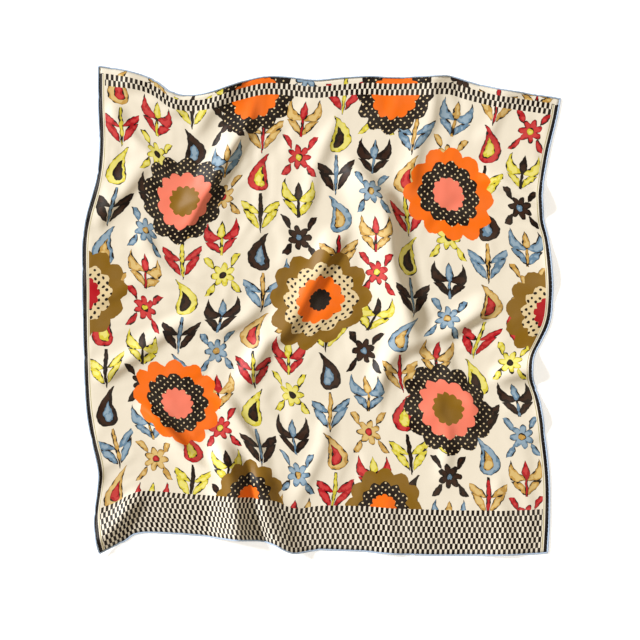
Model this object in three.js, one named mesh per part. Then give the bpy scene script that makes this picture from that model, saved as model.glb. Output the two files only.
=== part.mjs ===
// A silk square scarf laid on a level surface, where it has fallen into loose ripples.
//
// The cloth is one square of twill, 900 mm a side when smoothed flat, with four hand-rolled hems. Its
// plan outline and its folds are drawn by hand below. A lattice of cloth lines, evenly spaced along the
// draped surface, then carries both the wall of the square and the four hems.
//
// Millimetres, +Z up. The origin is under the middle of the scarf, on the surface that it rests on.
// +Y runs to the scarf's top edge and +X to its right edge.

import * as THREE from "three";
import { mergeVertices } from "three/addons/utils/BufferGeometryUtils.js";

// ---- driving dimensions ----
const WALL = 1.2; // thickness of the square's wall
const HEM = 3; // thickness of a rolled hem
const SEAM_GAP = 0.3; // between the square and its hems, and between two hems
const CELLS = 43; // cells of the wall along each side
const HEM_SIDES = 5; // flats round a hem
const EVENING_PASSES = 14; // times that the cloth lines are spaced again
const CURVE_STEPS = 6; // points between two points of a drawn curve
const CURVE_TENSION = 0.5; // how tightly a drawn curve follows its points

const HEM_REACH = HEM / 2 + SEAM_GAP; // from the wall's edge to a hem's centre line

// ---- outline: the edges of the square in plan, [x, y], corner to corner ----
const OUTLINE = {
  top: [
    [-400, 439], [-370, 435], [-326, 424], [-299, 413], [-272, 393], [-249, 387], [-209, 389],
    [-164, 403], [-128, 415], [-96, 421], [-56, 419], [-11, 414], [34, 418], [88, 421],
    [124, 419], [199, 420], [235, 421], [259, 413], [322, 397], [394, 387], [429, 381],
  ],
  bottom: [
    [-398, -434], [-353, -412], [-326, -398], [-254, -400], [-182, -406], [-110, -412],
    [-78, -420], [-51, -433], [-2, -429], [70, -431], [178, -438], [358, -437], [406, -434],
  ],
  left: [
    [-398, -434], [-407, -376], [-401, -322], [-399, -286], [-412, -232], [-422, -169],
    [-426, -70], [-428, 38], [-428, 128], [-417, 182], [-403, 236], [-397, 299], [-400, 380],
    [-400, 439],
  ],
  right: [
    [406, -434], [409, -376], [409, -304], [402, -232], [391, -160], [378, -118], [380, -84],
    [396, -52], [411, -16], [415, 38], [409, 119], [401, 155], [395, 200], [400, 240],
    [409, 290], [422, 344], [429, 381],
  ],
};

// ---- folds: one row each ----
// crest: the fold's crest in plan, drawn so that its steeper side is on the right of the way along it.
// rise: its height. gentle, steep: how far each side reaches from the crest. crisp: 0 is a round
// crest and 1 a sharp one. fade: the lengths over which it dies away at its two ends, 0 where it
// runs off the cloth.
const FOLDS = [
  { name: "corner diagonal", rise: 13, gentle: 52, steep: 26, crisp: 0.3, fade: [60, 50],
    crest: [[-236, 244], [-253, 250], [-293, 273], [-330, 306], [-368, 350], [-392, 392]] },
  { name: "corner hem", rise: 14, gentle: 44, steep: 28, crisp: 0.2, fade: [70, 50],
    crest: [[-205, 335], [-235, 350], [-272, 366], [-308, 390], [-350, 414], [-385, 424]] },
  { name: "top hem slope", rise: 13, gentle: 54, steep: 32, crisp: 0.1, fade: [70, 0],
    crest: [[-250, 285], [-226, 322], [-198, 363], [-170, 394], [-150, 435]] },
  { name: "upper left long", rise: 23, gentle: 66, steep: 24, crisp: 0.4, fade: [130, 170],
    crest: [[-268, 86], [-256, 114], [-242, 145], [-223, 179], [-200, 220],
      [-174, 266], [-154, 300], [-128, 350], [-108, 440]] },
  { name: "left soft", rise: 14, gentle: 62, steep: 40, crisp: 0.1, fade: [50, 90],
    crest: [[-420, 130], [-385, 184], [-349, 222], [-322, 265], [-298, 318]] },
  { name: "left arc", rise: 14, gentle: 56, steep: 32, crisp: 0.2, fade: [90, 80],
    crest: [[-90, -4], [-150, 8], [-222, 38], [-286, 80], [-316, 132], [-326, 196]] },
  { name: "right long", rise: 34, gentle: 80, steep: 42, crisp: 0.4, fade: [80, 120],
    crest: [[186, -90], [166, -40], [150, 10], [135, 54], [125, 100],
      [120, 146], [111, 185], [91, 215], [56, 258], [24, 310]] },
  { name: "top middle", rise: 12, gentle: 54, steep: 34, crisp: 0.2, fade: [80, 100],
    crest: [[-36, 130], [-24, 190], [-17, 241], [0, 285], [20, 330], [34, 390]] },
  { name: "centre", rise: 20, gentle: 62, steep: 32, crisp: 0.3, fade: [80, 90],
    crest: [[-152, -180], [-137, -136], [-98, -62], [-72, -42], [-50, -14],
      [-20, 38], [11, 91], [38, 135], [62, 180]] },
  { name: "hook", rise: 20, gentle: 54, steep: 27, crisp: 0.3, fade: [120, 90],
    crest: [[112, -214], [105, -176], [108, -130], [130, -78], [172, -57],
      [216, -44], [246, -26], [303, 6], [350, 30]] },
  { name: "upper right", rise: 13, gentle: 60, steep: 38, crisp: 0.1, fade: [70, 0],
    crest: [[148, 180], [160, 240], [176, 300], [194, 350], [208, 440]] },
  { name: "right hem ridge", rise: 16, gentle: 44, steep: 30, crisp: 0.1, fade: [80, 0],
    crest: [[250, 248], [296, 236], [335, 222], [375, 204], [435, 180]] },
  { name: "lower left", rise: 23, gentle: 48, steep: 23, crisp: 0.4, fade: [60, 90],
    crest: [[-160, -325], [-211, -284], [-228, -266], [-251, -243],
      [-274, -215], [-302, -184], [-345, -140]] },
  { name: "lower left inner", rise: 18, gentle: 44, steep: 23, crisp: 0.3, fade: [60, 80],
    crest: [[-80, -290], [-109, -252], [-132, -218], [-155, -185], [-175, -158], [-212, -118]] },
  { name: "bottom pleat", rise: 36, gentle: 66, steep: 48, crisp: 0.3, fade: [0, 100],
    crest: [[-150, -480], [-150, -400], [-153, -350], [-162, -300], [-178, -250], [-200, -195]] },
  { name: "pleat lip", rise: 27, gentle: 62, steep: 26, crisp: 0.3, fade: [80, 0],
    crest: [[-124, -240], [-110, -315], [-95, -380], [-74, -425], [-46, -480]] },
  { name: "bottom middle", rise: 11, gentle: 54, steep: 38, crisp: 0.1, fade: [70, 110],
    crest: [[-88, -420], [-48, -348], [-22, -295], [2, -235], [16, -180], [24, -120]] },
  { name: "lower right soft", rise: 10, gentle: 56, steep: 38, crisp: 0.1, fade: [100, 90],
    crest: [[216, -360], [222, -290], [224, -222], [212, -180], [198, -140], [176, -100]] },
  { name: "right diagonal", rise: 14, gentle: 46, steep: 28, crisp: 0.2, fade: [70, 50],
    crest: [[305, -215], [264, -152], [230, -107], [218, -60], [212, -20]] },
  { name: "right notch", rise: 20, gentle: 40, steep: 32, crisp: 0.1, fade: [80, 0],
    crest: [[270, -134], [320, -118], [372, -106], [440, -98]] },
  { name: "below the notch", rise: 10, gentle: 44, steep: 30, crisp: 0.1, fade: [60, 0],
    crest: [[300, -150], [350, -172], [430, -206]] },
  { name: "left diagonal", rise: 15, gentle: 54, steep: 30, crisp: 0.2, fade: [60, 90],
    crest: [[-430, -140], [-370, -106], [-328, -76], [-296, -52],
      [-240, -22], [-176, -32], [-106, 2], [-50, 30]] },
  { name: "corner roll", rise: 19, gentle: 44, steep: 30, crisp: 0.2, fade: [0, 70],
    crest: [[-430, -440], [-380, -396], [-342, -352], [-306, -300]] },
  { name: "left swell", rise: 9, gentle: 70, steep: 60, crisp: 0, fade: [40, 80],
    crest: [[-440, 10], [-380, 30], [-320, 52], [-250, 60]] },
  { name: "right swell", rise: 9, gentle: 70, steep: 56, crisp: 0, fade: [80, 0],
    crest: [[230, 110], [290, 104], [350, 90], [430, 60]] },
  { name: "top right swell", rise: 9, gentle: 60, steep: 50, crisp: 0, fade: [80, 0],
    crest: [[282, 250], [296, 310], [320, 360], [350, 430]] },
  { name: "lower right swell", rise: 9, gentle: 64, steep: 50, crisp: 0, fade: [0, 90],
    crest: [[330, -480], [326, -400], [312, -320], [300, -250]] },
  { name: "bottom hem wave", rise: 8, gentle: 50, steep: 36, crisp: 0, fade: [0, 80],
    crest: [[124, -480], [126, -420], [118, -350], [104, -290]] },
  { name: "lower left swell", rise: 8, gentle: 60, steep: 44, crisp: 0, fade: [0, 80],
    crest: [[-420, -300], [-370, -270], [-320, -250], [-290, -240]] },
];

// ---- curves and the height of the cloth ----
// A smooth line through the drawn points.
function curvePoints(drawn) {
  const points = drawn.map(([x, y]) => new THREE.Vector3(x, y, 0));
  const curve = new THREE.CatmullRomCurve3(points, false, "catmullrom", CURVE_TENSION);
  return curve.getPoints((drawn.length - 1) * CURVE_STEPS);
}

const smoothStep = (value) => THREE.MathUtils.smoothstep(value, 0, 1);

// Each crest becomes short straight stretches that know how far along the fold they start.
function crestStretches(fold) {
  const points = curvePoints(fold.crest);
  let along = 0;
  const stretches = points.slice(1).map((end, i) => {
    const start = points[i];
    const length = start.distanceTo(end);
    const way = end.clone().sub(start).divideScalar(length);
    const stretch = { start, way, length, along };
    along += length;
    return stretch;
  });
  return { ...fold, stretches, length: along };
}

// The nearest point of a fold's crest: the distance, which side it is on, and how far along.
function nearestOnCrest(fold, x, y) {
  const nearest = { distance: Infinity, steepSide: false, along: 0 };
  for (const { start, way, length, along } of fold.stretches) {
    const ahead = (x - start.x) * way.x + (y - start.y) * way.y;
    const aside = (x - start.x) * way.y - (y - start.y) * way.x;
    const held = THREE.MathUtils.clamp(ahead, 0, length);
    const distance = Math.hypot(ahead - held, aside);
    if (distance < nearest.distance) {
      Object.assign(nearest, { distance, steepSide: aside > 0, along: along + held });
    }
  }
  return nearest;
}

// One fold's height: a round bell blended with a sharper tent, fading at the ends.
function foldHeight(fold, x, y) {
  const { distance, steepSide, along } = nearestOnCrest(fold, x, y);
  const away = Math.min(distance / (steepSide ? fold.steep : fold.gentle), 1);
  const bell = 0.5 + 0.5 * Math.cos(Math.PI * away);
  const tent = (1 - away) ** 2 * (1 + 0.6 * away);
  const [fadeIn, fadeOut] = fold.fade;
  const start = fadeIn ? smoothStep(along / fadeIn) : 1;
  const end = fadeOut ? smoothStep((fold.length - along) / fadeOut) : 1;
  return fold.rise * start * end * THREE.MathUtils.lerp(bell, tent, fold.crisp);
}

const folds = FOLDS.map(crestStretches);

// Folds that cross merge as a rounded union; between them the cloth lies on the surface.
function clothHeight(x, y) {
  return Math.hypot(...folds.map((fold) => foldHeight(fold, x, y)));
}

// ---- the lattice of cloth lines ----
const lay = (x, y) => new THREE.Vector3(x, y, clothHeight(x, y));
const SHARES = Array.from({ length: CELLS + 1 }, (_, i) => i / CELLS);

// A line spaced again, so that its points lie evenly along the draped surface.
function evened(line) {
  const lengths = [0];
  line.slice(1).forEach((point, i) => lengths.push(lengths[i] + point.distanceTo(line[i])));
  let at = 0;
  return SHARES.map((share) => {
    const target = share * lengths.at(-1);
    while (at < line.length - 2 && lengths[at + 1] < target) at += 1;
    const part = (target - lengths[at]) / (lengths[at + 1] - lengths[at]);
    const point = line[at].clone().lerp(line[at + 1], THREE.MathUtils.clamp(part, 0, 1));
    return lay(point.x, point.y);
  });
}

// An edge of the square: its drawn line, laid down and evenly spaced.
function edgeLine(drawn) {
  return evened(curvePoints(drawn).map((point) => lay(point.x, point.y)));
}

// Between the four edges, the cloth lines start as the blend of the edges (a Coons patch).
function blendedLattice({ top, bottom, left, right }) {
  return SHARES.map((v, j) =>
    SHARES.map((u, i) => {
      const across = left[j].clone().lerp(right[j], u);
      const upward = bottom[i].clone().lerp(top[i], v);
      const low = bottom[0].clone().lerp(bottom[CELLS], u);
      const high = top[0].clone().lerp(top[CELLS], u);
      const point = across.add(upward).sub(low.lerp(high, v));
      return lay(point.x, point.y);
    }),
  );
}

// Rows and columns in turn are spaced along the draped surface; the four edges keep their place.
function drapedLattice() {
  const edges = Object.entries(OUTLINE).map(([side, drawn]) => [side, edgeLine(drawn)]);
  const grid = blendedLattice(Object.fromEntries(edges));
  for (let pass = 0; pass < EVENING_PASSES; pass += 1) {
    for (let j = 1; j < CELLS; j += 1) grid[j] = evened(grid[j]);
    for (let i = 1; i < CELLS; i += 1) {
      const column = evened(grid.map((row) => row[i]));
      column.forEach((point, j) => { grid[j][i] = point; });
    }
  }
  return grid;
}

// ---- solids ----
// The faces of a grid of rows of points, closed round if wrap is true. A cell is split along its
// other diagonal where turned(i, j) is true.
function gridFaces(rows, columns, firstPoint, { wrap = false, turned = () => false } = {}) {
  const faces = [];
  for (let j = 0; j < rows - 1; j += 1) {
    for (let i = 0; i < (wrap ? columns : columns - 1); i += 1) {
      const next = (i + 1) % columns;
      const [a, b] = [firstPoint + j * columns + i, firstPoint + j * columns + next];
      if (turned(i, j)) faces.push([a, b, a + columns], [b, b + columns, a + columns]);
      else faces.push([a, b, b + columns], [a, b + columns, a + columns]);
    }
  }
  return faces;
}

function solidMesh(name, points, faces, material) {
  const geometry = new THREE.BufferGeometry();
  geometry.setAttribute(
    "position",
    new THREE.Float32BufferAttribute(points.flatMap((point) => point.toArray()), 3),
  );
  geometry.setIndex(faces.flat());
  const mesh = new THREE.Mesh(mergeVertices(geometry), material);
  mesh.name = name;
  return mesh;
}

// The upward direction of the cloth at each point of the lattice.
function clothNormals(grid) {
  return grid.map((row, j) =>
    row.map((_, i) => {
      const along = row[Math.min(i + 1, CELLS)].clone().sub(row[Math.max(i - 1, 0)]);
      const up = grid[Math.min(j + 1, CELLS)][i].clone().sub(grid[Math.max(j - 1, 0)][i]);
      return along.cross(up).normalize();
    }),
  );
}

// Whether a cell's other diagonal lies closer to the cloth at its middle.
function turnedCell(grid, i, j) {
  const miss = (p, q) => Math.abs(clothHeight((p.x + q.x) / 2, (p.y + q.y) / 2) - (p.z + q.z) / 2);
  return miss(grid[j][i + 1], grid[j + 1][i]) < miss(grid[j][i], grid[j + 1][i + 1]);
}

// The square: an underside on the draped surface, a face above it and a thin edge all round.
function clothSquare(grid, normals, material) {
  const over = grid.map((row, j) => row.map((p, i) => p.clone().addScaledVector(normals[j][i], WALL)));
  const size = CELLS + 1;
  const layer = size * size;
  const turned = (i, j) => turnedCell(grid, i, j);
  const rim = SHARES.slice(1).flatMap((_, i) => [
    [i, i + 1],
    [i * size + CELLS, (i + 1) * size + CELLS],
    [layer - 1 - i, layer - 2 - i],
    [(CELLS - i) * size, (CELLS - 1 - i) * size],
  ]);
  const faces = [
    ...gridFaces(size, size, 0, { turned }).map(([a, b, c]) => [c, b, a]),
    ...gridFaces(size, size, layer, { turned }),
    ...rim.flatMap(([a, b]) => [[a, b, b + layer], [a, b + layer, a + layer]]),
  ];
  return solidMesh("cloth_square", [...grid.flat(), ...over.flat()], faces, material);
}

// The centre line of a hem beside an edge of the square, which has the outside on its left.
// Each point of the edge has its place and the cloth's upward direction there.
function hemLine(edge) {
  return edge.map(({ place, up }, k) => {
    const before = edge[Math.max(k - 1, 0)].place;
    const after = edge[Math.min(k + 1, edge.length - 1)].place;
    const way = after.clone().sub(before).normalize();
    const out = up.clone().cross(way).normalize();
    const centre = place.clone()
      .addScaledVector(out, HEM_REACH)
      .addScaledVector(up, (HEM / 2) * Math.cos(Math.PI / HEM_SIDES));
    return { centre, out, up, way };
  });
}

// A line whose two end points are moved out along it, or in where reach is negative.
function endsMoved(line, reach) {
  const moved = ({ centre, way, ...rest }, distance) => (
    { centre: centre.clone().addScaledVector(way, distance), way, ...rest }
  );
  return [moved(line[0], -reach), ...line.slice(1, -1), moved(line.at(-1), reach)];
}

// A hem: a roll with a flat underneath, where it rests, and a flat cap at each end.
function rolledHem(name, line, material) {
  const turns = Array.from({ length: HEM_SIDES }, (_, n) => (2 * Math.PI * (n + 0.5)) / HEM_SIDES);
  const points = line.flatMap(({ centre, out, up }) =>
    turns.map((turn) => {
      const point = centre.clone()
        .addScaledVector(out, (HEM / 2) * Math.sin(turn))
        .addScaledVector(up, (-HEM / 2) * Math.cos(turn));
      return point.setZ(Math.max(point.z, 0));
    }),
  );
  const body = gridFaces(line.length, HEM_SIDES, 0, { wrap: true });
  const lastRing = points.length - HEM_SIDES;
  const caps = [];
  for (let n = 1; n < HEM_SIDES - 1; n += 1) {
    caps.push([0, n + 1, n], [lastRing, lastRing + n, lastRing + n + 1]);
  }
  return solidMesh(name, points, [...body, ...caps], material);
}

// ---- the scarf ----
const silk = new THREE.MeshStandardMaterial({ color: 0xf3e8d3, roughness: 0.5, metalness: 0 });
const hemSilk = new THREE.MeshStandardMaterial({ color: 0xb9c4dd, roughness: 0.6, metalness: 0 });

const lattice = drapedLattice();
const normals = clothNormals(lattice);
const edgeRow = (j) => lattice[j].map((place, i) => ({ place, up: normals[j][i] }));
const edgeColumn = (i) => lattice.map((row, j) => ({ place: row[i], up: normals[j][i] }));

// The top and bottom hems cover the corners, and the side hems end just short of them.
const acrossCorners = (edge) => endsMoved(hemLine(edge), HEM + SEAM_GAP);
const betweenCorners = (edge) => endsMoved(hemLine(edge), -2 * SEAM_GAP);

const laid = new THREE.Group();
laid.add(
  clothSquare(lattice, normals, silk),
  rolledHem("hem_top", acrossCorners(edgeRow(CELLS)), hemSilk),
  rolledHem("hem_bottom", acrossCorners(edgeRow(0).reverse()), hemSilk),
  rolledHem("hem_left", betweenCorners(edgeColumn(0)), hemSilk),
  rolledHem("hem_right", betweenCorners(edgeColumn(CELLS).reverse()), hemSilk),
);

// The drawing is moved sideways so that the origin is under the middle of the scarf's box.
const middle = new THREE.Box3().setFromObject(laid).getCenter(new THREE.Vector3());
laid.position.set(-middle.x, -middle.y, 0);

const scarf = new THREE.Group();
scarf.add(laid);
export default scarf;
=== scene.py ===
"""A printed silk square scarf with hand-rolled hems, laid flat where it has fallen into loose ripples.

The cloth is a fine grid laid over the outline and the folds below, then settled as cloth that was cut
flat. Its print is worked out in the flat cloth's own millimetres, so it bends with every ripple.
"""

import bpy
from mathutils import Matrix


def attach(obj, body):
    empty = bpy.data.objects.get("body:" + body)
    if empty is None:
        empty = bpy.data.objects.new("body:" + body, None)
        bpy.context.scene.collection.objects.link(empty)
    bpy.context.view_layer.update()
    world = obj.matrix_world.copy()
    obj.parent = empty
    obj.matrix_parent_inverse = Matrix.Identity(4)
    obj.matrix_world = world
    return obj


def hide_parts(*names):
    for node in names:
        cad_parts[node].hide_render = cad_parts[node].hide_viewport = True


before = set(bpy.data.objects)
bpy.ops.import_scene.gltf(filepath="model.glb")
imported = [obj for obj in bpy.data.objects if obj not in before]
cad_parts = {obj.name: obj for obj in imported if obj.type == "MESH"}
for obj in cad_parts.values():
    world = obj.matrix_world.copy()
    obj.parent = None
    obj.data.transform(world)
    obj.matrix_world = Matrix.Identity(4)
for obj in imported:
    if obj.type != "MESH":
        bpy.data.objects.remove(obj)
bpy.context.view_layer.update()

import math

import bmesh
import bpy
import numpy as np
from mathutils import Matrix, Vector

MM = 0.001

# ---- driving sizes, in millimetres ----
SIDE = 900  # the square, smoothed flat
HEM = 3  # thickness of a rolled hem
CLOTH_THICK = 0.45
HEM_STEPS = 470  # rings of a hem along each side
HEM_SIDES = 10
HEM_OFFSET = 1.2  # from the cloth's edge out to the middle of the roll
HEM_LIFT = 0.5  # from the cloth up to the middle of the roll
HEM_DIMPLE = 0.16  # how far a stitch pulls the roll in, as a share of its radius
STITCH_PITCH = 7.5
STITCH_LONG = 2.4
STITCH_THICK = 0.4
STITCH_FOOT = 0.7  # from the cloth's edge in to the middle of a stitch
STITCH_LEAN = math.radians(55)
CELLS = 150  # cells of the cloth grid along each side
COARSE = 50  # cells of the lattice that spaces the cloth lines
EVENING_PASSES = 12

# ---- how the cloth settles ----
SETTLE_FRAMES = 16
SMOOTHING = 3  # passes that even out creases finer than the grid
HELD_INSIDE = 0.12  # how firmly the cloth is held where it was laid, from 0 to 1
HELD_EDGE = 0.6
EASE = 0.985  # the cut is taken in by this share before it settles
SILK = {
    "quality": 5,
    "mass": 0.02,
    "tension_stiffness": 15,
    "compression_stiffness": 15,
    "shear_stiffness": 5,
    "bending_stiffness": 1,
    "air_damping": 5,
}
CLOTH_GAP = 0.001  # kept from the surface, in metres
SURFACE_GAP = 0.0005

# ---- outline: the edges of the square in plan, corner to corner ----
OUTLINE = {
    "top": [
        (-400, 439), (-370, 435), (-326, 424), (-299, 413), (-272, 393), (-249, 387), (-209, 389),
        (-164, 403), (-128, 415), (-96, 421), (-56, 419), (-11, 414), (34, 418), (88, 421),
        (124, 419), (199, 420), (235, 421), (259, 413), (322, 397), (394, 387), (429, 381),
    ],
    "bottom": [
        (-398, -434), (-353, -412), (-326, -398), (-254, -400), (-182, -406), (-110, -412),
        (-78, -420), (-51, -433), (-2, -429), (70, -431), (178, -438), (358, -437), (406, -434),
    ],
    "left": [
        (-398, -434), (-407, -376), (-401, -322), (-399, -286), (-412, -232), (-422, -169),
        (-426, -70), (-428, 38), (-428, 128), (-417, 182), (-403, 236), (-397, 299),
        (-400, 380), (-400, 439),
    ],
    "right": [
        (406, -434), (409, -376), (409, -304), (402, -232), (391, -160), (378, -118), (380, -84),
        (396, -52), (411, -16), (415, 38), (409, 119), (401, 155), (395, 200), (400, 240),
        (409, 290), (422, 344), (429, 381),
    ],
}

# ---- folds: crest, its steeper side on the right of the way along it ----
# (name, rise, gentle side, steep side, crispness, fade at the start, fade at the end, crest)
FOLDS = [
    ("corner diagonal", 13, 52, 26, 0.3, 60, 50,
     [(-236, 244), (-253, 250), (-293, 273), (-330, 306), (-368, 350), (-392, 392)]),
    ("corner hem", 14, 44, 28, 0.2, 70, 50,
     [(-205, 335), (-235, 350), (-272, 366), (-308, 390), (-350, 414), (-385, 424)]),
    ("top hem slope", 13, 54, 32, 0.1, 70, 0,
     [(-250, 285), (-226, 322), (-198, 363), (-170, 394), (-150, 435)]),
    ("upper left long", 23, 66, 24, 0.4, 130, 170,
     [(-268, 86), (-256, 114), (-242, 145), (-223, 179), (-200, 220), (-174, 266), (-154, 300),
      (-128, 350), (-108, 440)]),
    ("left soft", 14, 62, 40, 0.1, 50, 90,
     [(-420, 130), (-385, 184), (-349, 222), (-322, 265), (-298, 318)]),
    ("left arc", 14, 56, 32, 0.2, 90, 80,
     [(-90, -4), (-150, 8), (-222, 38), (-286, 80), (-316, 132), (-326, 196)]),
    ("right long", 34, 80, 42, 0.4, 80, 120,
     [(186, -90), (166, -40), (150, 10), (135, 54), (125, 100), (120, 146), (111, 185), (91, 215),
      (56, 258), (24, 310)]),
    ("top middle", 12, 54, 34, 0.2, 80, 100,
     [(-36, 130), (-24, 190), (-17, 241), (0, 285), (20, 330), (34, 390)]),
    ("centre", 20, 62, 32, 0.3, 80, 90,
     [(-152, -180), (-137, -136), (-98, -62), (-72, -42), (-50, -14), (-20, 38), (11, 91),
      (38, 135), (62, 180)]),
    ("hook", 20, 54, 27, 0.3, 120, 90,
     [(112, -214), (105, -176), (108, -130), (130, -78), (172, -57), (216, -44), (246, -26),
      (303, 6), (350, 30)]),
    ("upper right", 13, 60, 38, 0.1, 70, 0,
     [(148, 180), (160, 240), (176, 300), (194, 350), (208, 440)]),
    ("right hem ridge", 16, 44, 30, 0.1, 80, 0,
     [(250, 248), (296, 236), (335, 222), (375, 204), (435, 180)]),
    ("lower left", 23, 48, 23, 0.4, 60, 90,
     [(-160, -325), (-211, -284), (-228, -266), (-251, -243), (-274, -215), (-302, -184), (-345, -140)]),
    ("lower left inner", 18, 44, 23, 0.3, 60, 80,
     [(-80, -290), (-109, -252), (-132, -218), (-155, -185), (-175, -158), (-212, -118)]),
    ("bottom pleat", 36, 66, 48, 0.3, 0, 100,
     [(-150, -480), (-150, -400), (-153, -350), (-162, -300), (-178, -250), (-200, -195)]),
    ("pleat lip", 27, 62, 26, 0.3, 80, 0,
     [(-124, -240), (-110, -315), (-95, -380), (-74, -425), (-46, -480)]),
    ("bottom middle", 11, 54, 38, 0.1, 70, 110,
     [(-88, -420), (-48, -348), (-22, -295), (2, -235), (16, -180), (24, -120)]),
    ("lower right soft", 10, 56, 38, 0.1, 100, 90,
     [(216, -360), (222, -290), (224, -222), (212, -180), (198, -140), (176, -100)]),
    ("right diagonal", 14, 46, 28, 0.2, 70, 50,
     [(305, -215), (264, -152), (230, -107), (218, -60), (212, -20)]),
    ("right notch", 20, 40, 32, 0.1, 80, 0,
     [(270, -134), (320, -118), (372, -106), (440, -98)]),
    ("below the notch", 10, 44, 30, 0.1, 60, 0,
     [(300, -150), (350, -172), (430, -206)]),
    ("left diagonal", 15, 54, 30, 0.2, 60, 90,
     [(-430, -140), (-370, -106), (-328, -76), (-296, -52), (-240, -22), (-176, -32), (-106, 2),
      (-50, 30)]),
    ("corner roll", 19, 44, 30, 0.2, 0, 70,
     [(-430, -440), (-380, -396), (-342, -352), (-306, -300)]),
    ("left swell", 9, 70, 60, 0, 40, 80,
     [(-440, 10), (-380, 30), (-320, 52), (-250, 60)]),
    ("right swell", 9, 70, 56, 0, 80, 0,
     [(230, 110), (290, 104), (350, 90), (430, 60)]),
    ("top right swell", 9, 60, 50, 0, 80, 0,
     [(282, 250), (296, 310), (320, 360), (350, 430)]),
    ("lower right swell", 9, 64, 50, 0, 0, 90,
     [(330, -480), (326, -400), (312, -320), (300, -250)]),
    ("bottom hem wave", 8, 50, 36, 0, 0, 80,
     [(124, -480), (126, -420), (118, -350), (104, -290)]),
    ("lower left swell", 8, 60, 44, 0, 0, 80,
     [(-420, -300), (-370, -270), (-320, -250), (-290, -240)]),
]


# ---- dyes and print, in the flat cloth's millimetres from its middle ----
def dye(red, green, blue):
    """A shader's colour from a dye's red, green and blue, 0 to 255."""
    return (*((part / 255) ** 2.2 for part in (red, green, blue)), 1)


DYES = {
    "ground": dye(240, 231, 212),
    "sand": dye(228, 206, 160),
    "dark": dye(25, 12, 4),
    "red": dye(178, 22, 34),
    "blue": dye(100, 132, 158),
    "yellow": dye(218, 204, 62),
    "ochre": dye(196, 152, 76),
    "orange": dye(250, 112, 14),
    "coral": dye(248, 128, 104),
    "bronze": dye(134, 98, 24),
    "olive": dye(160, 150, 74),
    "wash": dye(226, 212, 192),
    "hem": dye(176, 196, 222),
    "pale red": dye(206, 62, 62),
    "pale blue": dye(146, 170, 188),
    "pale yellow": dye(236, 226, 122),
    "pale ochre": dye(222, 190, 122),
    "brown": dye(54, 32, 20),
}
MOTIF_DYES = ("red", "blue", "yellow", "ochre", "dark")
MOTIF_TINTS = ("pale red", "pale blue", "pale yellow", "pale ochre", "brown")  # in the middle of a leaf

HAND = 4.5  # how far the drawn lines wander
OUTLINE_INK = 0.95  # width of a motif's dark outline
INK_CHANGE = 7  # how much that width changes along it
LEAST_INK = 0.25
TINT_INSET = 1.7  # from that outline in to the paler middle
CELL_WIDE, CELL_HIGH = 74, 76  # one motif's place in the half-drop lattice
MOTIF_SCALE = 1.32

# Rosettes: five in the field, and six that the edges and the check bands cut off.
# (name, centre, radius, petals, depth of the petals, fills from the rim inwards: (share, fill))
ROUNDS = [
    ("field, middle", (0, 30), 98, 12, 0.14,
     [(1, "bronze"), (0.74, "light spotted"), (0.48, "orange"), (0.22, "dark")]),
    ("field, upper left", (-268, 236), 88, 12, 0.14,
     [(1, "dark spotted"), (0.66, "coral"), (0.36, "bronze")]),
    ("field, upper right", (268, 236), 88, 12, 0.14,
     [(1, "orange"), (0.70, "dark spotted"), (0.36, "coral")]),
    ("field, lower left", (-268, -176), 88, 12, 0.14,
     [(1, "orange"), (0.70, "dark spotted"), (0.36, "coral")]),
    ("field, lower right", (268, -176), 88, 12, 0.14,
     [(1, "dark spotted"), (0.66, "coral"), (0.36, "bronze")]),
    ("left edge", (-450, 30), 84, 12, 0.14,
     [(1, "bronze"), (0.66, "light spotted"), (0.38, "red")]),
    ("right edge", (450, 30), 84, 12, 0.14,
     [(1, "bronze"), (0.66, "light spotted"), (0.38, "red")]),
    ("bottom edge, left", (-134, -367), 74, 12, 0.14,
     [(1, "bronze"), (0.66, "dark spotted"), (0.34, "orange")]),
    ("bottom edge, right", (134, -367), 74, 12, 0.14,
     [(1, "bronze"), (0.66, "dark spotted"), (0.34, "orange")]),
    ("top edge, left", (-134, 417), 74, 12, 0.14,
     [(1, "dark spotted"), (0.62, "orange")]),
    ("top edge, right", (134, 417), 74, 12, 0.14,
     [(1, "dark spotted"), (0.62, "orange")]),
]

CHECK_WIDE = 9.6  # a dark and a light check together
DARK_CHECK = 5.5
CHECK_BANDS = [(417, 439, 11), (-451, -367, 10.5)]  # (lower edge, upper edge, height of a row)
EDGE_LINES = [(438.4, 450, "ground"), (440, 441.2, "olive"), (443.4, 450, "dark")]  # (from, to, dye)
EDGE_LINES_TOP = 438

CLOTH_MAP = "OFBake"
FLOOR_GLOW = 0.48  # the floor is lit from within too, which keeps the shadows on it faint
HEM_REACH = {"hem_top": 2.2, "hem_bottom": 2.2, "hem_left": 0.4, "hem_right": 0.4}


# ---- the draped form ----
def smooth_line(drawn, steps=6):
    """A smooth line through the drawn points (a Catmull-Rom curve)."""
    points = np.array(drawn, float)
    points = np.vstack([2 * points[0] - points[1], points, 2 * points[-1] - points[-2]])
    line = []
    for a, b, c, d in zip(points, points[1:], points[2:], points[3:]):
        for t in np.arange(steps) / steps:
            line.append(0.5 * (2 * b + (c - a) * t + (2 * a - 5 * b + 4 * c - d) * t**2
                               + (3 * b - a - 3 * c + d) * t**3))
    return np.array([*line, points[-2]])


def smooth_step(value):
    value = np.clip(value, 0, 1)
    return value * value * (3 - 2 * value)


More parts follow.
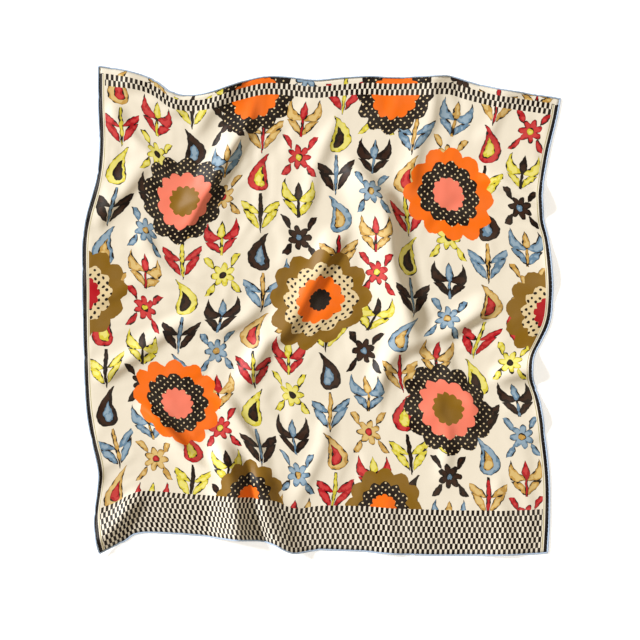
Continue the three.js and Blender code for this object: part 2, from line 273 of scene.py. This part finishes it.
def fold_height(fold, x, y):
    """One fold's height over the points x, y: a round bell blended with a sharper tent."""
    _, rise, gentle, steep, crisp, fade_in, fade_out, crest = fold
    line = smooth_line(crest)
    way = line[1:] - line[:-1]
    length = np.hypot(*way.T)
    way /= length[:, None]
    start = np.concatenate([[0], np.cumsum(length)])
    nearest = np.full(x.shape, 1e9)
    aside_there = np.zeros(x.shape)
    along_there = np.zeros(x.shape)
    for i, (px, py) in enumerate(line[:-1]):
        ahead = (x - px) * way[i, 0] + (y - py) * way[i, 1]
        aside = (x - px) * way[i, 1] - (y - py) * way[i, 0]
        held = np.clip(ahead, 0, length[i])
        distance = np.hypot(ahead - held, aside)
        closer = distance < nearest
        nearest = np.where(closer, distance, nearest)
        aside_there = np.where(closer, aside, aside_there)
        along_there = np.where(closer, start[i] + held, along_there)
    away = np.clip(nearest / np.where(aside_there > 0, steep, gentle), 0, 1)
    bell = 0.5 + 0.5 * np.cos(np.pi * away)
    tent = (1 - away) ** 2 * (1 + 0.6 * away)
    height = rise * (bell * (1 - crisp) + tent * crisp)
    if fade_in:
        height = height * smooth_step(along_there / fade_in)
    if fade_out:
        height = height * smooth_step((start[-1] - along_there) / fade_out)
    return height


def cloth_height(x, y):
    """Folds that cross merge as a rounded union; between them the cloth lies on the surface."""
    return np.sqrt(sum(fold_height(fold, x, y) ** 2 for fold in FOLDS))


def laid(points):
    """Plan points lifted to the height of the cloth."""
    return np.dstack([points[..., 0], points[..., 1], cloth_height(points[..., 0], points[..., 1])])


def evened(lines):
    """Lines of points, one a row, with the points of each spaced evenly along it."""
    out = np.empty_like(lines)
    for row, line in enumerate(lines):
        step = np.linalg.norm(np.diff(line, axis=0), axis=1)
        along = np.concatenate([[0], np.cumsum(step)])
        target = np.linspace(0, along[-1], len(line))
        for axis in range(3):
            out[row, :, axis] = np.interp(target, along, line[:, axis])
    return out


def edge_line(drawn):
    line = laid(smooth_line(drawn)[None, :, :])[0]
    along = np.concatenate([[0], np.cumsum(np.linalg.norm(np.diff(line, axis=0), axis=1))])
    target = np.linspace(0, along[-1], COARSE + 1)
    return np.column_stack([np.interp(target, along, line[:, axis]) for axis in range(3)])


def draped_lattice():
    """Cloth lines spaced evenly along the draped surface, both ways, between the four edges."""
    top, bottom, left, right = (edge_line(OUTLINE[side]) for side in ("top", "bottom", "left", "right"))
    u = np.linspace(0, 1, COARSE + 1)[None, :, None]
    v = u.transpose(1, 0, 2)
    across = left[:, None] * (1 - u) + right[:, None] * u
    upward = bottom[None, :] * (1 - v) + top[None, :] * v
    corners = ((bottom[0] * (1 - u) + bottom[-1] * u) * (1 - v) + (top[0] * (1 - u) + top[-1] * u) * v)
    lattice = laid((across + upward - corners)[..., :2])
    for _ in range(EVENING_PASSES):
        lattice[1:-1] = evened(lattice[1:-1])
        columns = lattice.transpose(1, 0, 2).copy()
        columns[1:-1] = evened(columns[1:-1])
        lattice = laid(columns.transpose(1, 0, 2)[..., :2])
    return lattice


def finer(rows, count):
    """Rows of a lattice resampled to count + 1 rows on smooth curves."""
    padded_rows = np.concatenate([[2 * rows[0] - rows[1]], rows, [2 * rows[-1] - rows[-2]]])
    place = np.linspace(0, len(rows) - 1, count + 1)
    first = np.minimum(place.astype(int), len(rows) - 2)
    t = (place - first).reshape(-1, *[1] * (rows.ndim - 1))
    a, b, c, d = (padded_rows[first + k] for k in range(4))
    return 0.5 * (2 * b + (c - a) * t + (2 * a - 5 * b + 4 * c - d) * t**2 + (3 * b - a - 3 * c + d) * t**3)


def draped_places():
    """Where each point of the fine cloth grid lies, row by row from the bottom, in metres."""
    lattice = draped_lattice()
    fine = finer(finer(lattice, CELLS).transpose(1, 0, 2), CELLS).transpose(1, 0, 2)
    places = laid(fine[..., :2])
    return places.reshape(-1, 3) * MM


def finished(name, bm):
    """A bmesh as an object of its own."""
    mesh = bpy.data.meshes.new(name)
    bm.to_mesh(mesh)
    bm.free()
    mesh.shade_smooth()
    piece = bpy.data.objects.new(name, mesh)
    bpy.context.scene.collection.objects.link(piece)
    return piece


def make_cloth():
    bm = bmesh.new()
    bm.loops.layers.uv.new(CLOTH_MAP)
    bmesh.ops.create_grid(bm, x_segments=CELLS, y_segments=CELLS, size=SIDE / 2 * MM, calc_uvs=True)
    return finished("cloth", bm)


def settle(cloth, places):
    """Blender's cloth settles the draped grid, which was cut flat, on the surface."""
    mesh = cloth.data
    cut = np.empty(len(mesh.vertices) * 3)
    mesh.vertices.foreach_get("co", cut)
    mesh.vertices.foreach_set("co", places.ravel())
    mesh.update()
    cloth.shape_key_add(name="laid")
    cut_key = cloth.shape_key_add(name="cut")
    cut_key.data.foreach_set("co", cut * EASE)
    held = cloth.vertex_groups.new(name="held")
    on_edge = np.max(np.abs(cut.reshape(-1, 3)), axis=1) > (SIDE / 2 - 1) * MM
    held.add([int(i) for i in np.flatnonzero(~on_edge)], HELD_INSIDE, "REPLACE")
    held.add([int(i) for i in np.flatnonzero(on_edge)], HELD_EDGE, "REPLACE")

    surface = bpy.data.objects.new("surface", bpy.data.meshes.new("surface"))
    bm = bmesh.new()
    bmesh.ops.create_grid(bm, x_segments=1, y_segments=1, size=2)
    bm.to_mesh(surface.data)
    bm.free()
    bpy.context.scene.collection.objects.link(surface)
    surface.modifiers.new("Collision", "COLLISION")
    surface.collision.thickness_outer = SURFACE_GAP

    silk = cloth.modifiers.new("Silk", "CLOTH")
    silk.settings.rest_shape_key = cut_key
    for setting, value in SILK.items():
        setattr(silk.settings, setting, value)
    silk.settings.vertex_group_mass = "held"
    silk.collision_settings.distance_min = CLOTH_GAP
    silk.collision_settings.use_self_collision = False
    for number in range(1, SETTLE_FRAMES + 1):
        bpy.context.scene.frame_set(number)
    graph = bpy.context.evaluated_depsgraph_get()
    settled = cloth.evaluated_get(graph).to_mesh()
    rested = np.empty(len(settled.vertices) * 3)
    settled.vertices.foreach_get("co", rested)
    cloth.modifiers.remove(silk)
    cloth.shape_key_clear()
    rested = rested.reshape(CELLS + 1, CELLS + 1, 3)
    for _ in range(SMOOTHING):
        around = rested[:-2, 1:-1] + rested[2:, 1:-1] + rested[1:-1, :-2] + rested[1:-1, 2:]
        rested[1:-1, 1:-1] = rested[1:-1, 1:-1] / 2 + around / 8
    rested[..., 2] = np.maximum(rested[..., 2], 0)
    mesh.vertices.foreach_set("co", rested.ravel())
    mesh.update()
    bpy.data.objects.remove(surface)
    bpy.context.scene.frame_set(1)


def read_grid(cloth):
    """The places of the cloth's points, as rows from the bottom of points from the left."""
    places = np.empty(len(cloth.data.vertices) * 3)
    cloth.data.vertices.foreach_get("co", places)
    return places.reshape(CELLS + 1, CELLS + 1, 3)


# ---- rolled hems ----
def hem_edges(grid):
    """The four edges of the cloth in turn, each with the outside on the right of the way along it."""
    return {
        "hem_bottom": grid[0],
        "hem_right": grid[:, -1],
        "hem_top": grid[-1, ::-1],
        "hem_left": grid[::-1, 0],
    }


def hem_line(edge, reach):
    """The middle of a hem's roll beside an edge, longer than it by reach at both ends."""
    line = finer(edge, HEM_STEPS)
    way = np.gradient(line, axis=0)
    way /= np.linalg.norm(way, axis=1)[:, None]
    out = np.cross(way, (0, 0, 1))
    out /= np.linalg.norm(out, axis=1)[:, None]
    line = line + out * HEM_OFFSET * MM
    line[:, 2] = np.maximum(line[:, 2] + HEM_LIFT * MM, HEM / 2 * MM)
    start = line[0] - way[0] * np.multiply.outer([reach, reach / 2], [MM] * 3)
    end = line[-1] + way[-1] * np.multiply.outer([reach / 2, reach], [MM] * 3)
    return np.vstack([start, line, end])


def make_hem(name, edge, reach):
    """A grid wrapped round the hem's line: plump between its stitches and round at its two ends."""
    line = hem_line(edge, reach)
    step = np.linalg.norm(np.diff(line, axis=0), axis=1)
    along = np.concatenate([[0], np.cumsum(step)]) / MM
    way = np.gradient(line, axis=0)
    way /= np.linalg.norm(way, axis=1)[:, None]
    aside = np.cross(way, (0, 0, 1))
    aside /= np.linalg.norm(aside, axis=1)[:, None]
    over = np.cross(aside, way)
    plump = 1 - HEM_DIMPLE * np.abs(np.cos(np.pi * along / STITCH_PITCH)) ** 6
    uneven = 1 + 0.03 * np.sin(along * 0.11) + 0.03 * np.sin(along * 0.043 + 1)
    from_end = np.minimum(along, along[-1] - along) / (HEM / 2)
    rounded = np.sqrt(1 - (1 - np.minimum(from_end, 1)) ** 2)
    radius = HEM / 2 * MM * plump * uneven * rounded

    bm = bmesh.new()
    bm.loops.layers.uv.new("UVMap")
    bmesh.ops.create_grid(bm, x_segments=len(line) - 1, y_segments=HEM_SIDES, size=1, calc_uvs=True)
    for k, vertex in enumerate(bm.verts):
        turn, i = divmod(k, len(line))
        angle = -2 * math.pi * turn / HEM_SIDES
        offset = aside[i] * math.cos(angle) + over[i] * math.sin(angle)
        vertex.co = line[i] + offset * radius[i]
    bmesh.ops.remove_doubles(bm, verts=bm.verts, dist=1e-6)
    bmesh.ops.recalc_face_normals(bm, faces=bm.faces)
    return finished(name, bm)


def make_stitches(edges):
    """Slip stitches at the inner foot of the hems: short slanted threads, all in one mesh."""
    bm = bmesh.new()
    for edge in edges.values():
        line = finer(edge, HEM_STEPS)
        step = np.linalg.norm(np.diff(line, axis=0), axis=1)
        along = np.concatenate([[0], np.cumsum(step)]) / MM
        for stitch in np.arange(1.5, along[-1] / STITCH_PITCH - 1):
            i = int(np.searchsorted(along, stitch * STITCH_PITCH))
            way = Vector(line[i + 1] - line[i - 1]).normalized()
            inward = Vector((-way.y, way.x, 0)).normalized()
            lean = (way * math.cos(STITCH_LEAN) + inward * math.sin(STITCH_LEAN)).normalized()
            place = Vector(line[i]) + inward * STITCH_FOOT * MM
            place.z += (CLOTH_THICK + STITCH_THICK / 2) * MM
            turn = lean.to_track_quat("X", "Z").to_matrix().to_4x4()
            size = Matrix.Diagonal((STITCH_LONG / 2 * MM, STITCH_THICK / 2 * MM, STITCH_THICK / 2 * MM, 1))
            bmesh.ops.create_icosphere(
                bm, subdivisions=1, radius=1, matrix=Matrix.Translation(place) @ turn @ size)
    return finished("hem_stitches", bm)


# ---- node trees ----
class Wire:
    """A value in a node tree. Arithmetic on wires adds Math nodes."""

    def __init__(self, socket):
        self.socket = socket
        self.tree = socket.id_data

    def math(self, operation, *others, clamp=False):
        node = self.tree.nodes.new("ShaderNodeMath")
        node.operation = operation
        node.use_clamp = clamp
        for socket, value in zip(node.inputs, (self, *others)):
            plug(value, socket)
        return Wire(node.outputs[0])

    def __add__(self, other):
        return self.math("ADD", other)

    def __sub__(self, other):
        return self.math("SUBTRACT", other)

    def __mul__(self, other):
        return self.math("MULTIPLY", other)

    def __truediv__(self, other):
        return self.math("DIVIDE", other)

    def __pow__(self, other):
        return self.math("POWER", other)

    def __abs__(self):
        return self.math("ABSOLUTE")

    def min(self, other):
        return self.math("MINIMUM", other)

    def max(self, other):
        return self.math("MAXIMUM", other)

    def over(self, limit):
        return self.math("GREATER_THAN", limit)

    def under(self, limit):
        return self.math("LESS_THAN", limit)

    def floor(self):
        return self.math("FLOOR")

    def every(self, count):
        return self.math("FLOORED_MODULO", count)


def plug(value, socket):
    """A wire is linked to the socket, and any other value is set on it."""
    if isinstance(value, Wire):
        socket.id_data.links.new(value.socket, socket)
    else:
        socket.default_value = value


def add(tree, kind, inputs, output=0, **settings):
    """A new node, and the wire of one of its outputs."""
    node = tree.nodes.new(kind)
    for name, value in settings.items():
        setattr(node, name, value)
    for name, value in inputs.items():
        plug(value, node.inputs[name])
    return Wire(node.outputs[output])


def split(vector):
    """The first two numbers of a vector."""
    x = add(vector.tree, "ShaderNodeSeparateXYZ", {"Vector": vector})
    return x, Wire(x.socket.node.outputs[1])


def joined(x, y):
    return add(x.tree, "ShaderNodeCombineXYZ", {"X": x, "Y": y})


def moved(place, at=(0, 0), turn=0):
    """A place as seen from the point at, with its first axis turned by so many degrees."""
    return add(place.tree, "ShaderNodeMapping",
               {"Vector": place, "Location": (*at, 0), "Rotation": (0, 0, math.radians(turn))},
               vector_type="TEXTURE")


def either(choice, first, second):
    """The first value where choice is 0 and the second where it is 1."""
    return add(choice.tree, "ShaderNodeMix", {"Factor": choice, "A": first, "B": second})


def painted(under, mask, dye):
    """Dye over a colour where mask is 1."""
    node = mask.tree.nodes.new("ShaderNodeMix")
    node.data_type = "RGBA"
    plug(mask, node.inputs[0])
    plug(under, node.inputs[6])
    plug(dye, node.inputs[7])
    return Wire(node.outputs[2])


def inside(edge, soft=0.4):
    """1 inside an edge, where the distance is below 0, and 0 outside it."""
    return edge.math("MULTIPLY_ADD", -1 / soft, 0.5, clamp=True)


FLOAT, VECTOR = "NodeSocketFloat", "NodeSocketVector"


def new_group(name, inputs, outputs):
    """An empty node group with named sockets: the wires of its inputs and the node of its outputs."""
    tree = bpy.data.node_groups.new(name, "ShaderNodeTree")
    for socket, kind in inputs.items():
        tree.interface.new_socket(socket, in_out="INPUT", socket_type=kind)
    for socket, kind in outputs.items():
        tree.interface.new_socket(socket, in_out="OUTPUT", socket_type=kind)
    source = tree.nodes.new("NodeGroupInput")
    return [Wire(source.outputs[socket]) for socket in inputs], tree.nodes.new("NodeGroupOutput")


def close_group(sink, *results):
    """The results are linked to the group's outputs, and the finished group is returned."""
    for value, socket in zip(results, sink.inputs):
        plug(value, socket)
    return sink.id_data


def use(tree, group, inputs):
    """A group placed in a tree: the wires of its outputs."""
    node = tree.nodes.new("ShaderNodeGroup")
    node.node_tree = group
    for name, value in inputs.items():
        plug(value, node.inputs[name])
    return [Wire(socket) for socket in node.outputs]


# ---- the drawing of leaves and flowers: distances in millimetres, below 0 inside ----
def blade_group():
    """A leaf along the first axis, from its foot at 0 to its tip, with its middle line bent."""
    sizes = ("Length", "Width", "Foot", "Tip", "Bow", "Curl")
    wires, sink = new_group("blade", {"Place": VECTOR, **{size: FLOAT for size in sizes}}, {"Edge": FLOAT})
    place, length, width, foot, tip, bow, curl = wires
    x, y = split(place)
    share = (x / length).math("MULTIPLY", 1, clamp=True)
    rest = share.math("MULTIPLY_ADD", -1, 1)
    middle = share * rest * 4 * bow + share ** 3 * curl
    edge = abs(y - middle) - share ** foot * rest ** tip * width
    past_ends = abs(x - length / 2) - length / 2
    return close_group(sink, edge.max(past_ends))


def leaf(place, at, turn, length, width, foot=0.8, tip=1.0, bow=0.0, curl=0.0):
    """A leaf with its foot at a point. foot and tip: how slender its ends are."""
    fullest = (foot + tip) ** (foot + tip) / (foot**foot * tip**tip)
    sizes = {"Length": length, "Width": width * fullest, "Foot": foot, "Tip": tip, "Bow": bow, "Curl": curl}
    return use(place.tree, BLADE, {"Place": moved(place, at, turn), **sizes})[0]


def both_sides(place):
    """The place folded over, so that what is drawn on the right is mirrored on the left."""
    x, y = split(place)
    return joined(abs(x), y)


def paisley(place):
    body = leaf(place, (-3, -25), 80, 54, 15, foot=0.5, tip=1.1, bow=-7, curl=20)
    heart = leaf(place, (-2, -19), 82, 31, 7.5, foot=0.5, tip=1.0, bow=-4, curl=5)
    return body, heart


def tulip(place):
    sides = both_sides(place)
    petals = leaf(sides, (0, -4), 50, 35, 7.6, foot=0.6, tip=0.9, bow=-10, curl=3)
    low = leaf(sides, (0.5, -27), 24, 29, 5.6, bow=7, curl=10)
    heart = leaf(place, (0, -4), 90, 27, 6, foot=0.6, tip=1.1)
    stem = leaf(place, (0, -32), 90, 29, 2.4, foot=0.2, tip=0.2)
    return petals.min(low), heart.min(stem)


def sprig(place):
    sides = both_sides(place)
    upper = leaf(sides, (2.5, 0), 60, 33, 6.2, bow=-7, curl=-16)
    lower = leaf(sides, (2.5, -22), 26, 34, 6.4, bow=8, curl=16)
    stem = leaf(place, (0, -31), 90, 64, 3.4, foot=0.9, tip=0.6)
    return upper.min(lower), stem


def daisy(place):
    x, y = split(place)
    reach = (x * x + y * y) ** 0.5
    petal = abs((y.math("ARCTAN2", x) * 3.5).math("COSINE"))
    petals = reach - petal.math("MULTIPLY_ADD", 7.5, 10.5)
    corner = joined(abs(x), abs(y))
    leaves = leaf(corner, (12, 10), 36, 25, 5, bow=5, curl=8)
    return petals.min(leaves), reach - 5.4


def motif_group(drawing):
    (place,), sink = new_group(drawing.__name__, {"Place": VECTOR}, {"Main": FLOAT, "Second": FLOAT})
    return close_group(sink, *drawing(place))


def lattice_group():
    """Half-drop cells: the place in a cell, the number of its motif and the numbers of its two dyes."""
    (place,), sink = new_group(
        "half-drop cells", {"Place": VECTOR},
        {"Across": FLOAT, "Up": FLOAT, "Motif": FLOAT, "First dye": FLOAT, "Second dye": FLOAT})
    x, y = split(place)
    column = (x / CELL_WIDE).floor()
    dropped = y + column.every(2) * (CELL_HIGH / 2)
    row = (dropped / CELL_HIGH).floor()
    here_x = x - (column + 0.5) * CELL_WIDE
    here_y = dropped - (row + 0.5) * CELL_HIGH
    motif = (column + row * 2).every(4)
    first = (column * 2 + row * 3).every(len(MOTIF_DYES))
    second = (first + 2).every(len(MOTIF_DYES))
    flipped = here_x * row.every(2).math("MULTIPLY_ADD", -2, 1)
    dyes = len(MOTIF_DYES)
    return close_group(
        sink, flipped / MOTIF_SCALE, here_y / MOTIF_SCALE, motif, first / dyes, second / dyes)


def round_group():
    """A round with petals at its rim: how far out a point is, as a share of the way to the rim."""
    (place, radius, petals, depth), sink = new_group(
        "petalled round", {"Place": VECTOR, "Radius": FLOAT, "Petals": FLOAT, "Depth": FLOAT},
        {"Share": FLOAT})
    x, y = split(place)
    reach = (x * x + y * y) ** 0.5
    petal = abs((y.math("ARCTAN2", x) * petals / 2).math("COSINE"))
    rim = radius - radius * depth * petal.math("MULTIPLY_ADD", -1, 1)
    return close_group(sink, reach / rim)


def spots_group():
    """Rows of round spots, not quite even: 1 on a spot and 0 between them."""
    (place, pitch, radius), sink = new_group(
        "spots", {"Place": VECTOR, "Pitch": FLOAT, "Radius": FLOAT}, {"Spots": FLOAT})
    x, y = split(moved(place, turn=45))
    reach = add(place.tree, "ShaderNodeTexVoronoi",
                {"Vector": joined(x / pitch, y / pitch), "Scale": 1.0, "Randomness": 0.2}, "Distance",
                voronoi_dimensions="2D")
    return close_group(sink, inside(reach * pitch - radius))


def dye_ramp(number, names):
    """One of the named dyes by its number, as a share from 0 to 1."""
    ramp = number.tree.nodes.new("ShaderNodeValToRGB")
    ramp.color_ramp.interpolation = "CONSTANT"
    stops = ramp.color_ramp.elements
    stops.remove(stops[1])
    stops[0].color = DYES[names[0]]
    for k, name in enumerate(names[1:], 1):
        stops.new((k - 0.5) / len(names)).color = DYES[name]
    plug(number, ramp.inputs[0])
    return Wire(ramp.outputs[0])


def checks(x, y, low, high, row):
    """Even checks between two heights: 1 on the dark ones, and 1 over the whole band."""
    band = y.over(low) * y.under(high)
    line = ((y - low) / row).floor()
    across = (x + line * (CHECK_WIDE / 2)).every(CHECK_WIDE)
    return across.under(DARK_CHECK), band


def printed_colour(tree, place):
    """The whole print, painted from the ground up."""
    x, y = split(place)
    wobble = add(tree, "ShaderNodeTexNoise", {"Vector": place, "Scale": 0.09, "Detail": 1}, "Color",
                 noise_dimensions="2D")
    away = add(tree, "ShaderNodeVectorMath", {0: wobble, 1: (0.5, 0.5, 0.5)}, operation="SUBTRACT")
    drawn = add(tree, "ShaderNodeVectorMath", {0: away, 1: (HAND, HAND, 0), 2: place},
                operation="MULTIPLY_ADD")
    pressed = add(tree, "ShaderNodeSeparateXYZ", {"Vector": away}, "Z")
    ink = (pressed * INK_CHANGE + OUTLINE_INK).max(LEAST_INK)

    dark_spots, = use(tree, SPOTS, {"Place": drawn, "Pitch": 11, "Radius": 2.8})
    light_spots, = use(tree, SPOTS, {"Place": drawn, "Pitch": 9.5, "Radius": 1.6})
    fills = {
        **DYES,
        "light spotted": painted(DYES["sand"], dark_spots, DYES["dark"]),
        "dark spotted": painted(DYES["dark"], light_spots, DYES["sand"]),
    }
    colour = DYES["ground"]
    across, up, motif, first_dye, second_dye = use(tree, LATTICE, {"Place": drawn})
    cell = joined(across, up)
    mains, seconds = zip(*(use(tree, group, {"Place": cell}) for group in MOTIFS))
    odd = motif.every(2)
    upper_half = motif.over(1.5)
    for edges, dye in ((mains, first_dye), (seconds, second_dye)):
        edge = either(upper_half, either(odd, edges[0], edges[1]), either(odd, edges[2], edges[3]))
        colour = painted(colour, inside(edge), DYES["dark"])
        colour = painted(colour, inside(edge + ink), dye_ramp(dye, MOTIF_DYES))
        colour = painted(colour, inside(edge + ink * 2 + TINT_INSET, 1.2), dye_ramp(dye, MOTIF_TINTS))

    for _, centre, radius, petals, depth, rings in ROUNDS:
        share, = use(tree, ROUND, {"Place": moved(drawn, centre), "Radius": radius,
                                   "Petals": petals, "Depth": depth})
        for reach, fill in rings:
            colour = painted(colour, inside((share - reach) * radius), fills[fill])

    for low, high, row in CHECK_BANDS:
        dark, band = checks(x, y, low, high, row)
        colour = painted(colour, band, painted(DYES["ground"], dark, DYES["dark"]))
    aside = abs(x)
    for start, end, dye in EDGE_LINES:
        stripe = aside.over(start) * aside.under(end) * y.under(EDGE_LINES_TOP)
        colour = painted(colour, stripe, DYES[dye])
    return colour


# ---- materials ----
SHEEN_ROUGHNESS = 0.35
SPECULAR = 0.18


def new_material(name, sheen):
    material = bpy.data.materials.new(name)
    material.use_nodes = True
    shader = material.node_tree.nodes["Principled BSDF"]
    plug(sheen, shader.inputs["Sheen Weight"])
    plug(SHEEN_ROUGHNESS, shader.inputs["Sheen Roughness"])
    plug(SPECULAR, shader.inputs["Specular IOR Level"])
    return material, material.node_tree, shader


def twill_group():
    """Fine diagonal ribs of a twill, and soft unevenness in how the dye has taken."""
    (place, rib), sink = new_group(
        "twill", {"Place": VECTOR, "Rib": FLOAT}, {"Height": FLOAT, "Shade": FLOAT})
    x, y = split(place)
    ribs = ((x + y * 1.9) * (2 * math.pi) / rib).math("SINE")
    cloudy = add(place.tree, "ShaderNodeTexNoise", {"Vector": place, "Scale": 0.02, "Detail": 3},
                 noise_dimensions="2D")
    slub = add(place.tree, "ShaderNodeTexNoise", {"Vector": place, "Scale": 0.9, "Detail": 2},
               noise_dimensions="2D")
    return close_group(sink, ribs * 0.5 + slub, cloudy * 0.6 + slub * 0.4)


def silk_finish(tree, shader, place, colour, rib):
    """Twill relief and uneven dye under a colour."""
    height, shade = use(tree, TWILL, {"Place": place, "Rib": rib})
    bump = add(tree, "ShaderNodeBump", {"Height": height, "Strength": 0.22, "Distance": 0.00006})
    plug(bump, shader.inputs["Normal"])
    plug(painted(colour, shade.math("MULTIPLY_ADD", 0.16, -0.06, clamp=True), DYES["wash"]),
         shader.inputs["Base Color"])
    plug(shade.math("MULTIPLY_ADD", 0.16, 0.36), shader.inputs["Roughness"])


def printed_silk():
    material, tree, shader = new_material("printed silk", 0.04)
    uv = add(tree, "ShaderNodeUVMap", {}, uv_map=CLOTH_MAP)
    place = add(tree, "ShaderNodeMapping",
                {"Vector": uv, "Location": (-SIDE / 2, -SIDE / 2, 0), "Scale": (SIDE, SIDE, 1)})
    silk_finish(tree, shader, place, printed_colour(tree, place), rib=0.55)
    return material


def hem_silk(name, dye):
    material, tree, shader = new_material(name, 0.2)
    uv = add(tree, "ShaderNodeUVMap", {}, uv_map="UVMap")
    place = add(tree, "ShaderNodeMapping", {"Vector": uv, "Scale": (SIDE, math.pi * HEM, 1)})
    silk_finish(tree, shader, place, dye, rib=0.5)
    return material


def stitch_thread():
    material, tree, shader = new_material("stitch thread", 0.2)
    plug(0.55, shader.inputs["Roughness"])
    place = add(tree, "ShaderNodeTexCoord", {}, "Object")
    twist = add(tree, "ShaderNodeTexNoise", {"Vector": place, "Scale": 2500.0})
    plug(DYES["hem"], shader.inputs["Base Color"])
    bump = add(tree, "ShaderNodeBump", {"Height": twist, "Strength": 0.4, "Distance": 0.0001})
    plug(bump, shader.inputs["Normal"])
    return material


def floor_paper():
    material, tree, shader = new_material("floor paper", 0)
    plug(0.9, shader.inputs["Roughness"])
    place = add(tree, "ShaderNodeTexCoord", {}, "Object")
    fibre = add(tree, "ShaderNodeTexNoise", {"Vector": place, "Scale": 300.0, "Detail": 3})
    bump = add(tree, "ShaderNodeBump", {"Height": fibre, "Strength": 0.05, "Distance": 0.0002})
    plug(bump, shader.inputs["Normal"])
    plug((0.97, 0.97, 0.97, 1), shader.inputs["Base Color"])
    plug((1, 1, 1, 1), shader.inputs["Emission Color"])
    plug(FLOOR_GLOW, shader.inputs["Emission Strength"])
    return material


def studio_lamp(name, place, strength, softness, colour):
    """A far, soft lamp that shines evenly from the direction of a place."""
    lamp = bpy.data.lights.new(name, "SUN")
    lamp.energy = strength
    lamp.angle = math.radians(softness)
    lamp.color = colour
    obj = bpy.data.objects.new(name, lamp)
    obj.location = place
    obj.rotation_euler = (-Vector(place)).to_track_quat("-Z", "Y").to_euler()
    bpy.context.scene.collection.objects.link(obj)


# ---- the scarf ----
BLADE = blade_group()
ROUND = round_group()
SPOTS = spots_group()
LATTICE = lattice_group()
TWILL = twill_group()
MOTIFS = [motif_group(drawing) for drawing in (paisley, tulip, sprig, daisy)]

cloth = make_cloth()
settle(cloth, draped_places())
cloth.data.materials.append(printed_silk())
thick = cloth.modifiers.new("Thickness", "SOLIDIFY")
thick.thickness = CLOTH_THICK * MM
thick.offset = 1
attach(cloth, "root")
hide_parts("cloth_square")

edges = hem_edges(read_grid(cloth))
rolled = hem_silk("hem silk", DYES["hem"])
trims = []
for name, edge in edges.items():
    hem = make_hem(f"{name}_roll", edge, HEM_REACH[name])
    hem.data.materials.append(rolled)
    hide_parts(name)
    trims.append(hem)
stitches = make_stitches(edges)
stitches.data.materials.append(stitch_thread())
trims.append(stitches)
for trim in trims:
    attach(trim, "root")

# ---- floor, lights and camera ----
FLOOR_HALF = 40
FLOOR_DROP = 0.0002  # the floor lies this far below the cloth
FILL_COLOUR, FILL_STRENGTH = (1.0, 0.88, 0.7, 1), 0.46
LAMP_FROM, LAMP_STRENGTH, LAMP_SOFTNESS = (-2.3, 0.95, 1.35), 3.9, 11
LAMP_COLOUR = (0.98, 1.0, 1.04)
CAMERA_AT = (-0.0023, -0.0164, 3.2)
SEEN_WIDTH = 1.152  # what the camera sees across at the surface
SENSOR = 36

bm = bmesh.new()
bmesh.ops.create_grid(bm, x_segments=1, y_segments=1, size=FLOOR_HALF)
floor = finished("floor", bm)
floor.location.z = -FLOOR_DROP
floor.data.materials.append(floor_paper())

scene = bpy.context.scene
world = bpy.data.worlds.new("studio")
scene.world = world
world.use_nodes = True
plug(FILL_COLOUR, world.node_tree.nodes["Background"].inputs["Color"])
plug(FILL_STRENGTH, world.node_tree.nodes["Background"].inputs["Strength"])
studio_lamp("window", LAMP_FROM, LAMP_STRENGTH, LAMP_SOFTNESS, LAMP_COLOUR)
scene.view_settings.view_transform = "Standard"

camera = bpy.data.objects.new("camera", bpy.data.cameras.new("camera"))
camera.data.lens = SENSOR * CAMERA_AT[2] / SEEN_WIDTH
camera.location = CAMERA_AT
scene.collection.objects.link(camera)
scene.camera = camera
